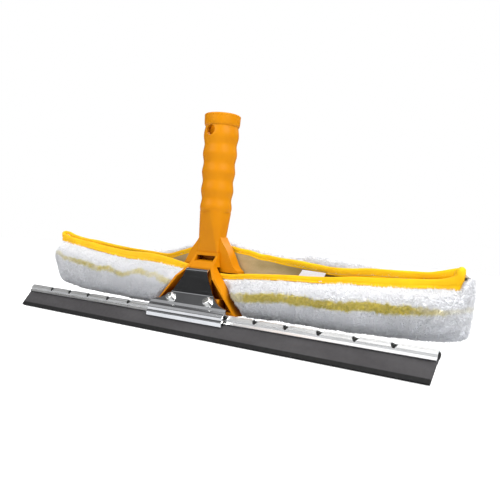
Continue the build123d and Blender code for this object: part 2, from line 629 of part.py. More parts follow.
def parts():
    binding = sleeve_binding()
    made = {
        "handle_body": handle_body(),
        "t_bar_tube": bar_tube(),
        "front_jaw": front_jaw(),
        "rear_jaw": rear_jaw(),
        "squeegee_channel": channel(),
        "rubber_blade": rubber(),
        "sleeve_lining": sleeve_lining(),
        "sleeve_binding": binding,
        "care_label": care_label(),
    }
    for name, panel in sleeve_panels(sleeve_pile(binding)).items():
        made["sleeve_pile_" + name] = panel
    for name, side in (("left", -1), ("right", 1)):
        made["t_bar_cap_" + name] = bar_cap(side)
        made["t_bar_screw_" + name] = bar_screw(side)
        made["jaw_screw_" + name] = jaw_screw(side)
        made["jaw_washer_" + name] = jaw_washer(side)
        made["jaw_nut_" + name] = jaw_nut(side)
    return made


def main():
    os.makedirs("parts", exist_ok=True)
    for name, shape in parts().items():
        export_step(Pos(0, FOOTPRINT_SHIFT, 0) * shape, f"parts/{name}.step")
    print("handle axis y", round(FOOTPRINT_SHIFT, 4), "socket mouth z", round(GRIP_TOP, 4))
    print("lock hole z", round(GRIP_TOP - LOCK_HOLE_DOWN, 4))
    y, z = blade_point(PLATE_FACE, SCREW_UP)
    print("clamp screw y z", round(y + FOOTPRINT_SHIFT, 4), round(z, 4), "x", SCREW_SPACING / 2)
    print("screw axis", 0, round(-cos(TILT), 6), round(sin(TILT), 6))


main()
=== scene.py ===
"""Looks for the window squeegee and washer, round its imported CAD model.  Metres, Z up, X along the blade."""
import json
import math

import bpy
import numpy as np
from mathutils import Matrix, Vector


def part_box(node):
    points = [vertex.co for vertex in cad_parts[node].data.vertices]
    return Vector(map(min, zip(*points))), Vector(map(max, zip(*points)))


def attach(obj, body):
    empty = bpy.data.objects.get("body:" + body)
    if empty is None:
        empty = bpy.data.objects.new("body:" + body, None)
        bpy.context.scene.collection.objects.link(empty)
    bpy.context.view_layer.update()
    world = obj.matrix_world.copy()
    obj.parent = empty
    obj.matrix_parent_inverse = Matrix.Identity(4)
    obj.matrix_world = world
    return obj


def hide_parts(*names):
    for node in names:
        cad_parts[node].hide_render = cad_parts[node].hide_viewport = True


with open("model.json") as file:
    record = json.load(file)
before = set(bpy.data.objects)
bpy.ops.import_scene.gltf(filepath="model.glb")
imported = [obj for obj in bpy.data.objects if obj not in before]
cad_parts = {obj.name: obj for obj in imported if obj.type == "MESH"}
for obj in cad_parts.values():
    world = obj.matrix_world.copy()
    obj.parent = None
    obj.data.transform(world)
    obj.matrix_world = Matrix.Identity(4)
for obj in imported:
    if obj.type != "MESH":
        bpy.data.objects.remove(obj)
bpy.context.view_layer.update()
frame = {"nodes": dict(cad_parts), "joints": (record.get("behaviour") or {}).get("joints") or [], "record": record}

# ---- places read from the frame ----
SOCKET = next(m for m in frame["record"]["mounts"] if m["name"] == "pole_socket")
AXIS_Y = SOCKET["pos_m"][1]
PILE_PANELS = ("sleeve_pile_front", "sleeve_pile_back")
PILE_LOW = Vector([min(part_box(n)[0][i] for n in PILE_PANELS) for i in range(3)])
PILE_HIGH = Vector([max(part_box(n)[1][i] for n in PILE_PANELS) for i in range(3)])
RUBBER_LOW, RUBBER_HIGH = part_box("rubber_blade")
JAW_AXIS = frame["joints"][0]["axis"]        # the front jaw leaves at right angles to the blade
TILT = math.atan2(abs(JAW_AXIS[2]), abs(JAW_AXIS[1]))
MM = 0.001


# ---- small tools ----
def smooth(t):
    t = np.clip(t, 0, 1)
    return t * t * (3 - 2 * t)


def curve_at(table, x):
    """A smooth curve through (x, value) pairs, as Catmull-Rom pieces."""
    xs = np.array([a for a, _ in table], float)
    ys = np.array([b for _, b in table], float)
    x = np.clip(np.asarray(x, float), xs[0], xs[-1])
    i = np.clip(np.searchsorted(xs, x) - 1, 0, len(xs) - 2)
    slope = np.gradient(ys, xs)
    h = xs[i + 1] - xs[i]
    t = (x - xs[i]) / h
    a, b = ys[i], ys[i + 1]
    m, n = slope[i] * h, slope[i + 1] * h
    rise = t * t * (3 - 2 * t)
    return a + rise * (b - a) + (t**3 - 2 * t**2 + t) * m + (t**3 - t**2) * n


def noise(points, size, seed):
    """Smooth value noise from 0 to 1 at points in metres, with cells of that size."""
    p = np.asarray(points, float) / size + seed * 17.31
    cell = np.floor(p)
    f = smooth(p - cell)
    total = np.zeros(len(p))
    for corner in range(8):
        off = np.array([corner & 1, corner >> 1 & 1, corner >> 2 & 1], float)
        q = cell + off
        h = np.sin(q[:, 0] * 127.1 + q[:, 1] * 311.7 + q[:, 2] * 74.7 + seed) * 43758.5453
        h -= np.floor(h)
        w = np.prod(np.where(off > 0, f, 1 - f), axis=1)
        total += w * h
    return total


def clumps(points, size, seed):
    """Two octaves of noise, centred on 0."""
    return noise(points, size, seed) * 0.65 + noise(points, size / 2.1, seed + 3) * 0.35 - 0.5


def mesh_object(name, points, faces, smooth_shade=True):
    mesh = bpy.data.meshes.new(name)
    mesh.from_pydata([tuple(p) for p in points], [], [tuple(int(i) for i in f) for f in faces])
    mesh.update()
    if smooth_shade:
        mesh.polygons.foreach_set("use_smooth", [True] * len(mesh.polygons))
    obj = bpy.data.objects.new(name, mesh)
    bpy.context.scene.collection.objects.link(obj)
    return obj


def set_point_value(obj, name, values):
    layer = obj.data.attributes.new(name, "FLOAT", "POINT")
    layer.data.foreach_set("value", np.asarray(values, np.float32))


# ---- materials ----
class Nodes:
    """A material's node tree with a Principled shader, and short calls to add nodes to it."""

    def __init__(self, name, color, roughness, metallic=0.0, **sockets):
        self.mat = bpy.data.materials.new(name)
        self.mat.use_nodes = True
        self.tree = self.mat.node_tree
        self.tree.nodes.clear()
        self.out = self.tree.nodes.new("ShaderNodeOutputMaterial")
        self.shader = self.tree.nodes.new("ShaderNodeBsdfPrincipled")
        self.link(self.shader.outputs[0], self.out.inputs[0])
        self.shader.inputs["Base Color"].default_value = (*color, 1)
        self.shader.inputs["Roughness"].default_value = roughness
        self.shader.inputs["Metallic"].default_value = metallic
        for key, value in sockets.items():
            self.shader.inputs[key.replace("_", " ")].default_value = value
        coordinates = self.tree.nodes.new("ShaderNodeTexCoord")
        self.place = coordinates.outputs["Object"]

    def link(self, a, b):
        self.tree.links.new(a, b)

    def add(self, kind, **values):
        node = self.tree.nodes.new("ShaderNode" + kind)
        for key, value in values.items():
            if hasattr(node, key):
                setattr(node, key, value)
            else:
                node.inputs[key.replace("_", " ")].default_value = value
        return node

    def stretched(self, scale):
        node = self.add("Mapping")
        node.inputs["Scale"].default_value = scale
        self.link(self.place, node.inputs["Vector"])
        return node.outputs[0]

    def grain(self, scale, detail=3.0, vector=None, rough=0.5):
        node = self.add("TexNoise", Scale=scale, Detail=detail, Roughness=rough)
        self.link(vector or self.place, node.inputs["Vector"])
        return node.outputs["Fac"]

    def ramp(self, value, low, high, a, b):
        node = self.add("MapRange")
        node.inputs["From Min"].default_value = low
        node.inputs["From Max"].default_value = high
        node.inputs["To Min"].default_value = a
        node.inputs["To Max"].default_value = b
        self.link(value, node.inputs["Value"])
        return node.outputs[0]

    def mix(self, factor, a, b):
        """Colour a where the factor is 0 and b where it is 1."""
        node = self.add("Mix", data_type="RGBA")
        self.link(factor, node.inputs[0])
        for socket, value in ((node.inputs[6], a), (node.inputs[7], b)):
            if isinstance(value, tuple):
                socket.default_value = (*value, 1)
            else:
                self.link(value, socket)
        return node.outputs[2]

    def math(self, operation, a, b=0.0):
        node = self.add("Math", operation=operation)
        for socket, value in ((node.inputs[0], a), (node.inputs[1], b)):
            if isinstance(value, (int, float)):
                socket.default_value = value
            else:
                self.link(value, socket)
        return node.outputs[0]

    def color(self, value):
        self.link(value, self.shader.inputs["Base Color"])

    def roughness(self, value):
        self.link(value, self.shader.inputs["Roughness"])

    def bump(self, height, distance, strength=1.0):
        node = self.add("Bump", Strength=strength, Distance=distance)
        self.link(height, node.inputs["Height"])
        if self.shader.inputs["Normal"].is_linked:
            self.link(self.shader.inputs["Normal"].links[0].from_socket, node.inputs["Normal"])
        self.link(node.outputs[0], self.shader.inputs["Normal"])


def moulded_plastic(name, color, dark, shadow):
    m = Nodes(name, color, 0.4, Subsurface_Weight=0.04, Subsurface_Scale=0.0015, Specular_IOR_Level=0.14)
    m.shader.inputs["Subsurface Radius"].default_value = (1.0, 0.4, 0.1)
    cloudy = m.mix(m.ramp(m.grain(38.0), 0.35, 0.7, 0.0, 1.0), color, dark)
    # painted shade: ambient occlusion darkens the plastic towards the shadow colour in nooks and recesses
    painted_nook_shade = m.add("AmbientOcclusion", samples=8, Distance=0.016)
    m.color(m.mix(m.ramp(painted_nook_shade.outputs["AO"], 0.08, 0.45, 0.0, 1.0), shadow, cloudy))
    m.roughness(m.ramp(m.grain(240.0), 0.3, 0.7, 0.36, 0.5))
    m.bump(m.grain(1900.0, 2.0), 0.00006)
    return m.mat


def steel(name, color, rough, streak, spread):
    """Bright sheet metal with fine drawing lines along X."""
    m = Nodes(name, color, rough, metallic=1.0)
    lines = m.grain(1.0, 4.0, m.stretched((14.0, 1500.0, 1500.0)))
    m.roughness(m.ramp(lines, 0.3, 0.7, max(rough - spread, 0.02), rough + spread))
    m.color(m.mix(m.ramp(m.grain(60.0), 0.4, 0.7, 0.0, 1.0), color, tuple(c * 0.93 for c in color)))
    m.bump(lines, streak)
    return m.mat


def blade_rubber():
    """Dull grey natural rubber, with painted shade: black along its working edge, where the edge face is in
    shadow, and a black band of painted shadow just under the channel.
    """
    m = Nodes("blade_rubber", (0.06, 0.056, 0.058), 0.6, Specular_IOR_Level=0.3)
    down = m.add("VectorMath", operation="DOT_PRODUCT")
    down.inputs[1].default_value = (0, math.sin(TILT), math.cos(TILT))
    m.link(m.place, down.inputs[0])
    low = RUBBER_LOW.y * math.sin(TILT) + RUBBER_LOW.z * math.cos(TILT)
    high = RUBBER_HIGH.y * math.sin(TILT) + RUBBER_HIGH.z * math.cos(TILT)
    # painted shade: a black band along the lower edge, and a black band of painted shadow under the channel
    edge = m.ramp(down.outputs["Value"], low + 0.0042, low + 0.0050, 1.0, 0.0)
    channel_shadow = m.ramp(down.outputs["Value"], high - 0.0080, high - 0.0070, 0.0, 1.0)
    dust = m.ramp(m.grain(70.0, 5.0, m.stretched((0.35, 1, 1))), 0.42, 0.72, 0.0, 1.0)
    face = m.mix(dust, (0.048, 0.045, 0.047), (0.064, 0.061, 0.063))
    m.color(m.mix(m.math("MAXIMUM", edge, channel_shadow), face, (0.004, 0.004, 0.004)))
    m.roughness(m.ramp(m.grain(300.0), 0.3, 0.7, 0.55, 0.7))
    m.bump(m.grain(1100.0, 3.0), 0.00005)
    return m.mat


def pile_material(name):
    m = Nodes(name, (0.86, 0.88, 0.92), 0.85, Sheen_Weight=0.25, Sheen_Roughness=0.5, Subsurface_Weight=0.25,
              Subsurface_Scale=0.004)
    m.shader.inputs["Subsurface Radius"].default_value = (1.0, 1.0, 1.0)
    stripe = m.add("Attribute", attribute_name="stripe").outputs["Fac"]
    pile_shade_and_tone = m.add("Attribute", attribute_name="pile_shade_and_tone").outputs["Fac"]
    # painted shade: the white pile turns bluish grey where its shade value is high
    white = m.mix(pile_shade_and_tone, (0.97, 0.97, 0.98), (0.72, 0.76, 0.84))
    tinted = m.mix(m.ramp(m.grain(420.0, 2.0), 0.35, 0.65, 0.0, 1.0), (0.84, 0.70, 0.13), (0.60, 0.50, 0.06))
    m.color(m.mix(stripe, white, tinted))
    m.bump(m.grain(1300.0, 3.0), 0.0003)
    return m.mat


def tape_material():
    """Folded woven binding tape: fine ribs across the tape, a little paler where it is rubbed."""
    m = Nodes("binding_tape", (0.95, 0.56, 0.004), 0.7, Sheen_Weight=0.12, Sheen_Roughness=0.4,
              Specular_IOR_Level=0.2)
    along = m.add("Attribute", attribute_name="along").outputs["Fac"]
    across = m.add("Attribute", attribute_name="across").outputs["Fac"]
    ribs = m.math("SINE", m.math("MULTIPLY", along, 2 * math.pi / (0.55 * MM)))
    cords = m.math("SINE", m.math("MULTIPLY", across, 2 * math.pi / (0.7 * MM)))
    weave = m.math("MULTIPLY", m.math("ADD", ribs, m.math("MULTIPLY", cords, 0.6)), 0.3)
    shade = m.ramp(m.grain(55.0, 4.0), 0.35, 0.7, 0.0, 1.0)
    m.color(m.mix(shade, (0.95, 0.56, 0.004), (0.88, 0.46, 0.002)))
    m.bump(weave, 0.00012)
    m.bump(m.grain(500.0, 3.0), 0.00015)
    return m.mat


def woven_material(name, color, dark, pitch):
    m = Nodes(name, color, 0.8, Sheen_Weight=0.2)
    split = m.add("SeparateXYZ")
    m.link(m.place, split.inputs[0])
    warp = m.math("SINE", m.math("MULTIPLY", split.outputs[0], 2 * math.pi / pitch))
    weft = m.math("SINE", m.math("MULTIPLY", split.outputs[2], 2 * math.pi / pitch))
    weave = m.math("MULTIPLY", warp, weft)
    stain = m.ramp(m.grain(90.0, 4.0, m.stretched((0.3, 1, 1))), 0.4, 0.65, 0.0, 1.0)
    m.color(m.mix(m.ramp(weave, -1.0, 1.0, 0.0, 0.5), m.mix(stain, color, dark), dark))
    m.bump(weave, 0.0002)
    return m.mat


HANDLE = moulded_plastic("handle_plastic", (0.64, 0.235, 0.0006), (0.58, 0.20, 0.0005), (0.13, 0.012, 0.0003))
FINISHES = {
    "handle_body": HANDLE,
    "t_bar_cap_left": HANDLE,
    "t_bar_cap_right": HANDLE,
    "t_bar_tube": steel("bar_metal", (0.75, 0.76, 0.77), 0.32, 0.00004, 0.08),
    "front_jaw": steel("jaw_polished", (0.80, 0.81, 0.82), 0.10, 0.000012, 0.05),
    "rear_jaw": steel("jaw_steel", (0.78, 0.79, 0.80), 0.2, 0.00003, 0.06),
    "squeegee_channel": steel("channel_metal", (0.96, 0.96, 0.945), 0.30, 0.00002, 0.05),
    "rubber_blade": blade_rubber(),
}
ZINC = steel("screw_steel", (0.80, 0.80, 0.78), 0.2, 0.00002, 0.07)
PILE = pile_material("pile_fabric")
TAPE = tape_material()
LINING = woven_material("lining_fabric", (0.56, 0.42, 0.22), (0.34, 0.25, 0.09), 1.3 * MM)
LABEL = woven_material("label_fabric", (0.93, 0.92, 0.95), (0.82, 0.80, 0.86), 0.5 * MM)
for name, node in frame["nodes"].items():
    node.data.materials.clear()
    node.data.materials.append(FINISHES.get(name, ZINC))


# ---- sleeve: how it lies on its bar, in millimetres about the handle's axis ----
LENGTH = (PILE_HIGH.x - PILE_LOW.x) / 2 / MM
FLOOR = PILE_LOW.z / MM
LEFT_END = -LENGTH + 19.0
RIGHT_END = LENGTH - 1.0
# Each table is (x, value) pairs from the left end to the right end.  Z is a height above the floor, Y is a
# distance behind the handle's axis, and a half is half the height of what the Z table places.
FRONT_Z = ((-226, 77.5), (-220, 76.5), (-213, 74.6), (-206, 72.9), (-188, 70.9), (-170, 69.2),
           (-153, 67.2), (-137, 65.6), (-121, 64.2), (-105, 63.3), (-89, 63.2), (-73, 63.2), (-58, 62.2),
           (-45, 60.8), (-32, 59.3), (-18, 57.7), (0, 54.8), (14, 53.2), (29, 53.0), (50, 55), (70, 56.1),
           (90, 57.1), (108, 57.5), (125, 58.3), (143, 59.9), (160, 60.5), (176, 61.1), (191, 62),
           (206, 63.2), (220, 64.6), (229, 67))
FRONT_HALF = ((-226, 4.3), (-206, 3.9), (-58, 3.9), (-45, 3.7), (-32, 3.1), (-18, 2.5), (29, 2.2),
              (70, 2.5), (90, 2.5), (125, 2.9), (143, 3.2), (160, 3.6), (191, 3.8), (220, 4.4),
              (229, 6.5))
BACK_Z = ((-226, 78.2), (-213, 78.3), (-206, 76.3), (-195, 74.3), (-178, 72.6), (-161, 71.7),
          (-144, 69.8), (-129, 68.4), (-114, 67.2), (-100, 66.6), (-86, 66.2), (-73, 65.4), (-60, 65.6),
          (-48, 68.9), (-36, 72.4), (-28, 74.6), (0, 77.6), (15, 77.0), (25, 75.5), (36, 74.4),
          (48, 72.0), (59, 71.1), (70, 70), (81, 69.2), (92, 68.6), (102, 67.6), (112, 66.7), (122, 65.7),
          (131, 65.5), (140, 65.7), (157, 67), (173, 67.2), (189, 67.4), (204, 68.0), (218, 70.2),
          (229, 71))
BACK_HALF = ((-226, 4.0), (-195, 3.8), (-144, 3.5), (-100, 3.2), (-73, 2.8), (-48, 2.6), (15, 2.5),
             (59, 2.8), (102, 3.2), (140, 3.5), (189, 3.8), (218, 4.4), (229, 6.0))
FRONT_Y = ((-235, -1.9), (-130, -2.6), (-100, -4.2), (-60, -7.4), (-20, -7.9), (20, -7.9), (60, -7.2),
           (100, -3.6), (125, -2.1), (235, -1.7))
BACK_Y = ((-235, 1.9), (-130, 2.2), (-90, 4.5), (-40, 8.2), (-18, 8.4), (18, 8.4), (60, 7.6), (95, 4.2),
          (120, 2.0), (235, 1.7))
CREST_Z = ((-235, 72), (-213, 76.5), (-195, 74.5), (-160, 71.5), (-129, 68.5), (-100, 67), (-81, 68.6),
           (-67, 70.2), (-54, 73.2), (-41, 76), (-34, 77.2), (0, 80.6), (11, 80.8), (32, 79), (54, 76.7),
           (75, 74.2), (85, 73.9), (95, 75.4), (105, 75.7), (114, 75.2), (133, 74), (150, 73),
           (167, 71.8), (183, 71.2), (199, 71.4), (214, 72.3), (236, 69))
BOTTOM_Z = ((-219, 47), (-215, 38), (-210, 32.6), (-205, 30.8), (-197, 29.4), (-187, 28.4), (-175, 26.9),
            (-152, 25.2), (-120, 24.4), (-90, 23.3), (-60, 22.8), (50, 22.4), (90, 23.2), (135, 23.5),
            (170, 24.4), (200, 25.2), (214, 26.2), (228, 28), (236, 32))
END_RADIUS = 20.0
FRONT_DEPTH = -19.0          # the pile's outer face, before its slow waves
BACK_DEPTH = 19.6
LINING_Y = 6.5               # the lining's distance from the middle, low in the sleeve
FLOOR_THICKNESS = 6.2        # of the pile under the bar
PRESSED_Y = -9.1             # the front wall where the leg presses on it
# Half width of the handle's leg by height above the floor.
LEG_OUTLINE = ((0, 54), (20, 49.5), (41, 31.5), (50, 23), (58, 16.5), (66, 14.5), (76, 13), (100, 11))
TUFT_RADIUS = 0.30
LABEL_WIDTH = 24.5
LABEL_LENGTH = 11.8          # up its slope


def plan_scale(x, left, right, radius):
    """How wide the sleeve is at x, from 1 to 0 at its rounded ends."""
    t = np.clip(np.maximum(left + radius - x, x - right + radius) / radius, 0, 1)
    return np.sqrt(np.clip(1 - t**2.6, 0, 1))


def bspline(control, count):
    """A clamped uniform cubic B-spline: control is (n, k, 2), the answer (n, count, 2)."""
    control = np.concatenate([control[:, :1]] * 2 + [control] + [control[:, -1:]] * 2, axis=1)
    spans = control.shape[1] - 3
    t = np.linspace(0, spans - 1e-6, count)
    i = t.astype(int)
    f = (t - i)[None, :, None]
    a, b, c, d = (control[:, i + k] for k in range(4))
    weights = ((1 - f) ** 3, 3 * f**3 - 6 * f**2 + 4, -3 * f**3 + 3 * f**2 + 3 * f + 1, f**3)
    return sum(weight * point for weight, point in zip(weights, (a, b, c, d))) / 6


def stacked(points):
    """(y, z) pairs, each given at every x, as one array: x, then point, then y and z."""
    return np.stack([np.stack(point, -1) for point in points], 1)


def outer_profile(x):
    """Pile surface at each x, from the front binding down, under and up to the back binding."""
    zf, zb, zc, low = (curve_at(t, x) for t in (FRONT_Z, BACK_Z, CREST_Z, BOTTOM_Z))
    yf, yb = curve_at(FRONT_Y, x), curve_at(BACK_Y, x)
    start = zf - curve_at(FRONT_HALF, x) - 0.3 - 0.9 * smooth(1 - np.abs(x - 40) / 90)
    start += smooth((x - 229.5) / 4.0) * (zb - 1.5 - start)
    start += smooth((-x - 215.0) / 4.0) * 1.5
    front = FRONT_DEPTH + 0.8 * np.sin(x / 31.0) * smooth(abs(x) / 60)
    back = BACK_DEPTH + 0.7 * np.sin(x / 27.0 + 1)
    middle = (low + start) / 2
    points = [
        (yf - 0.4, start), (yf - 2.4, start - 1.2), (0.66 * front, start - 4.2),
        (0.95 * front, start - 9.5), (1.04 * front, middle + 3), (1.03 * front, middle - 6),
        (0.96 * front, low + 5.5), (0.72 * front, low + 0.6), (0.25 * front, low - 0.3),
        (0.3 * back, low - 0.3), (0.74 * back, low + 0.6), (0.97 * back, low + 6), (1.03 * back, middle),
        (1.03 * back, zc - 15), (0.93 * back, zc - 4.5),
        (0.62 * back + 0.35 * yb, zc + 0.6), (yb + 4.4, zc - 0.6), (yb + 2.2, zb + 0.3), (yb + 1.0, zb - 1.2),
    ]
    section = stacked(points)
    drawn_in = smooth((-x - 190.0) / 20.0)[:, None] * smooth((62.0 - section[:, :, 1]) / 26.0)
    section[:, :, 0] *= 1 - 0.5 * drawn_in
    return section


def inner_profile(x):
    """Lining side of the pile at each x, in the same order."""
    zf, zb = curve_at(FRONT_Z, x), curve_at(BACK_Z, x)
    yf, yb = curve_at(FRONT_Y, x), curve_at(BACK_Y, x)
    start = zf - curve_at(FRONT_HALF, x) + 0.5
    floor = np.maximum(FLOOR + FLOOR_THICKNESS, curve_at(BOTTOM_Z, x) + 2.0)
    wall = np.full_like(x, LINING_Y)
    points = [
        (yf + 0.3, start + 0.3), (yf + 0.2, start - 0.8), (-wall, np.minimum(start - 2.0, 52.5)),
        (-wall, floor + 12), (-wall, floor + 2), (-wall * 0.8, floor), (wall * 0.8, floor), (wall, floor + 2),
        (wall, floor + 12), (wall, np.minimum(zb - 7, 56.5)), (yb * 0.5 + wall * 0.5, zb - 3.2),
        (yb - 0.2, zb - 1.4),
    ]
    return stacked(points)


def behind_leg(points):
    """Presses the front wall flat where the leg stands in front of it."""
    x, y, z = points[:, 0], points[:, 1], points[:, 2]
    half = curve_at(LEG_OUTLINE, z)
    free = smooth((np.abs(x) - half - 0.2) / np.where(x > 0, 10.0, 4.0))
    pressed = np.maximum(y, PRESSED_Y)
    points[:, 1] = pressed * (1 - free) + y * free
    return points


def sleeve_grid(profile, left, right, radius, stations, around):
    """Points of a boat-shaped sleeve surface: its two ends close on the middle plane."""
    u = np.linspace(-1, 1, stations)
    u = 0.4 * np.sin(u * math.pi / 2) + 0.6 * u
    x = (left + right) / 2 + (right - left) / 2 * u
    section = bspline(profile(x), around)
    scale = plan_scale(x, left, right, radius)
    grid = np.zeros((stations, around, 3))
    grid[:, :, 0] = x[:, None]
    grid[:, :, 1] = section[:, :, 0] * scale[:, None]
    grid[:, :, 2] = section[:, :, 1]
    return grid


STRIPE_Z = ((-199, 58.5), (-190, 54.3), (-181, 53.3), (-164, 51.4), (-147, 49.1), (-131, 47.8),
            (-116, 48), (-108, 46.2), (-100, 44.4), (-86, 46.7), (-72, 49.3), (-65, 48.2), (-58, 46.9),
            (-51, 48), (-44, 45.3), (-38, 43.7), (-31, 42), (-27, 40.6), (0, 38), (51, 37.6), (72, 39),
            (91, 41.1), (110, 41.2), (129, 41.3), (146, 41.4), (162, 42.9), (178, 43.7), (193, 43.7),
            (208, 44.8), (222, 45.4), (232, 47.9), (241, 52))
STRIPE_HALF = ((-240, 1.0), (-190, 1.9), (-131, 2.3), (-100, 1.9), (-65, 2.1), (-30, 2.5), (51, 3.1),
               (92, 3.2), (129, 2.8), (178, 2.9), (208, 2.7), (222, 1.7), (240, 1.2))
STRIPE_STRENGTH = ((-240, 0.25), (-205, 0.35), (-185, 0.62), (-30, 0.66), (0, 0.8), (51, 0.95), (208, 0.95),
                   (219, 0.62), (228, 0.32), (240, 0.2))


def stripe_at(points):
    """0 to 1: how much of the dyed stripe is at each point, in millimetres about the axis."""
    centre = curve_at(STRIPE_Z, points[:, 0])
    half = curve_at(STRIPE_HALF, points[:, 0])
    ragged = clumps(points, 2.4, 11) * 2.2 + clumps(points, 8.0, 5) * 1.6
    away = np.abs(points[:, 2] + ragged - centre) - half
    patch = 0.6 + 0.4 * smooth((noise(points, 5.0, 21) - 0.2) * 2.5)
    return smooth(0.5 - away / 2.2) * patch * curve_at(STRIPE_STRENGTH, points[:, 0])


def to_row(points):
    return np.asarray(points) * MM + np.array([0, AXIS_Y, 0])


def grid_normals(grid):
    du = np.gradient(grid, axis=0)
    dv = np.gradient(grid, axis=1)
    n = np.cross(dv, du)
    length = np.linalg.norm(n, axis=2, keepdims=True)
    return n / np.maximum(length, 1e-9)


def shell_faces(stations, around):
    """Faces of two nested grids of the same size, outer first, joined along both of their long edges."""
    base = stations * around
    faces = []
    for i in range(stations - 1):
        for j in range(around - 1):
            a = i * around + j
            faces.append((a, a + around, a + around + 1, a + 1))
            b = base + a
            faces.append((b, b + 1, b + around + 1, b + around))
        for j in (0, around - 1):
            a = i * around + j
            quad = (a, base + a, base + a + around, a + around)
            faces.append(quad if j == 0 else quad[::-1])
    return faces


def weld(obj):
    """Joins the points that meet at a sleeve's closed ends."""
    modifier = obj.modifiers.new("weld", "WELD")
    modifier.merge_threshold = 0.00002


def build_pile():
    stations, around = 330, 118
    outer = sleeve_grid(outer_profile, LEFT_END, RIGHT_END, END_RADIUS, stations, around)
    flat = behind_leg(outer.reshape(-1, 3))
    outer = flat.reshape(outer.shape)
    n = grid_normals(outer)
    v = np.linspace(0, 1, around)[None, :]
    rim = (smooth(v / 0.075) * smooth((1 - v) / 0.05)) * np.ones((stations, 1))
    behind = 1 - smooth((np.abs(flat[:, 0]) - curve_at(LEG_OUTLINE, flat[:, 2]) - 0.3) / 2.0)
    pressed = (behind * (flat[:, 1] < 0)).reshape(rim.shape)
    soft = rim * (1 - 0.92 * pressed)
    lumps = clumps(flat, 24.0, 2) * 2.0 + clumps(flat, 8.5, 4) * 1.2 + clumps(flat, 3.0, 9) * 0.8
    lumps = lumps.reshape(rim.shape) * soft
    moved = outer + n * lumps[:, :, None]
    inner = sleeve_grid(inner_profile, LEFT_END + 7.5, RIGHT_END - 12.5, 8.0, stations, around)
    points = np.concatenate([moved.reshape(-1, 3), inner.reshape(-1, 3)])
    faces = shell_faces(stations, around)
    base = stations * around
    for i in (0, stations - 1):
        for j in range(around // 2 - 1):
            a, b = i * around + j, i * around + around - 1 - j
            for start in (0, base):
                quad = (start + a, start + a + 1, start + b - 1, start + b)
                faces.append(quad if (i == 0) == (start == 0) else quad[::-1])
    pile = mesh_object("sleeve_pile", to_row(points), faces)
    stripe = np.concatenate([stripe_at(moved.reshape(-1, 3)), np.zeros(base)])
    # Painted shade on the pile: darker low on the sleeve and in the hollows between its lumps, and half shaded on
    # its inside shell.
    low = smooth((46 - moved[:, :, 2].reshape(-1)) / 26)
    hollow = smooth(0.5 - lumps.reshape(-1) / 3.0)
    pile_shade_and_tone = np.concatenate([np.clip(0.25 * hollow + 0.35 * low, 0, 1), np.full(base, 0.5)])
    set_point_value(pile, "stripe", stripe)
    set_point_value(pile, "pile_shade_and_tone", pile_shade_and_tone)
    weld(pile)
    pile.data.materials.append(PILE)
    return pile, moved, n, soft


def build_tufts(name, moved, n, soft, count, keep, length, seed):
    """Tufts of pile: short pointed fibres that lean with gravity and with each other."""
    draw = np.random.default_rng(seed)
    a, b = moved[:-1, :-1], moved[1:, :-1]
    c = moved[:-1, 1:]
    area = np.linalg.norm(np.cross(b - a, c - a), axis=2)
    weight = area * (soft[:-1, :-1] > 0.3) * keep(a, n[:-1, :-1])
    weight = (weight / weight.sum()).reshape(-1)
    pick = draw.choice(weight.size, count, p=weight)
    i, j = np.divmod(pick, moved.shape[1] - 1)
    s, t = draw.random((2, count))
    root = (moved[i, j] * ((1 - s) * (1 - t))[:, None] + moved[i + 1, j] * (s * (1 - t))[:, None]
            + moved[i, j + 1] * ((1 - s) * t)[:, None] + moved[i + 1, j + 1] * (s * t)[:, None])
    normal = n[i, j]
    free = soft[i, j]
    lean = np.stack([clumps(root, 4.0, seed + k) for k in (1, 2, 3)], 1) * 1.7
    lean += draw.normal(0, 0.34, (count, 3))
    lean[:, 2] -= 0.35
    lean -= normal * np.sum(lean * normal, 1, keepdims=True)
    reach = length * (0.5 + 0.7 * draw.random(count)) * (0.3 + 0.7 * free)
    way = normal * 0.75 + lean
    way /= np.linalg.norm(way, axis=1, keepdims=True)
    side = np.cross(way, draw.normal(0, 1, (count, 3)))
    side /= np.linalg.norm(side, axis=1, keepdims=True)
    other = np.cross(way, side)
    wide = (TUFT_RADIUS * (0.7 + 0.6 * draw.random(count))) * (0.6 + 0.4 * free)
    points = np.zeros((count, 4, 3))
    for k in range(3):
        angle = 2 * math.pi * k / 3
        ring = side * math.cos(angle) + other * math.sin(angle)
        points[:, k] = root - way * 0.4 + ring * wide[:, None]
    points[:, 3] = root + way * reach[:, None]
    pattern = np.array([(0, 1, 3), (1, 2, 3), (2, 0, 3), (2, 1, 0)])
    faces = (pattern[None] + 4 * np.arange(count)[:, None, None]).reshape(-1, 3)
    tufts = mesh_object(name, to_row(points.reshape(-1, 3)), faces)
    stripe = stripe_at(root)
    # Painted shade on the tufts: darker low on the sleeve and at their roots than at their tips, with a little
    # random tone.
    low = smooth((46 - root[:, 2]) / 26)
    shade = 0.3 * low + 0.12 * draw.random(count)
    pile_shade_and_tone = np.stack([shade + 0.15] * 3 + [shade * 0.6], 1)
    set_point_value(tufts, "stripe", np.repeat(stripe, 4))
    set_point_value(tufts, "pile_shade_and_tone", np.clip(pile_shade_and_tone, 0, 1).reshape(-1))
    tufts.data.materials.append(PILE)
    return tufts


# ---- binding: a tape folded over the sleeve's edge, as one loop ----
def edge_lines(step):
    """The binding's centre line: along the front edge to the right, and along the back edge to the left."""
    x = np.arange(LEFT_END - 1.5, RIGHT_END - 9.5, step)
    front = np.stack([x, curve_at(FRONT_Y, x), curve_at(FRONT_Z, x)], 1)
    back = np.stack([x, curve_at(BACK_Y, x), curve_at(BACK_Z, x)], 1)[::-1]
    return front, back


# Half width of the folded tape in millimetres, by height from its lower edge (-1) to its fold (1).
TAPE_HEIGHTS = (-1.0, -0.9, -0.6, -0.38, -0.1, 0.5, 0.8, 0.93, 1.0)
TAPE_WIDTHS = (0.5, 0.9, 1.0, 0.72, 1.15, 1.35, 1.2, 0.85, 0.4)


